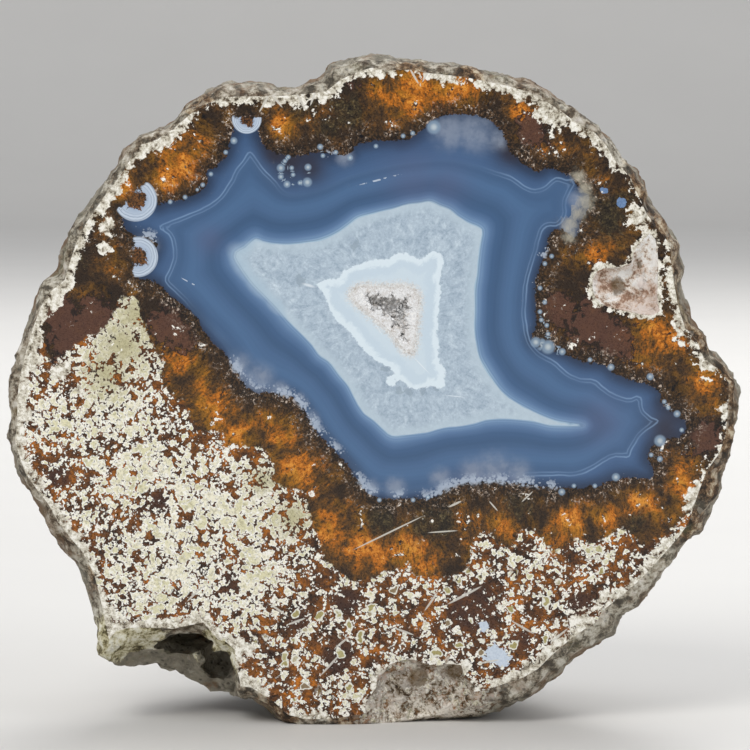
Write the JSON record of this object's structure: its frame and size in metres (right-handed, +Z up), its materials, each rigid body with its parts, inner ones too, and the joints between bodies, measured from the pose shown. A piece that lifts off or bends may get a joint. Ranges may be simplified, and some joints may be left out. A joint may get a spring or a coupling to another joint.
{
  "type": "agate half nodule",
  "caption": "Sawn and polished half of a rounded agate nodule with a rough rind, domed back and small crystal-lined hollow, standing on a small flat spot on its edge.",
  "frame": {"origin": "on the resting plane, under the middle of the stone", "axes": "+Z up, +X to the right of the polished face as seen from the front, +Y from the polished face into the stone"},
  "size_m": [0.109, 0.0479, 0.0989],
  "materials": {
    "stone": "polished cut face, rough rind",
    "quartz": "glassy crystals"
  },
  "bodies": {
    "root": {"stone": "stone", "crystal_crust": "quartz"}
  },
  "joints": []
}
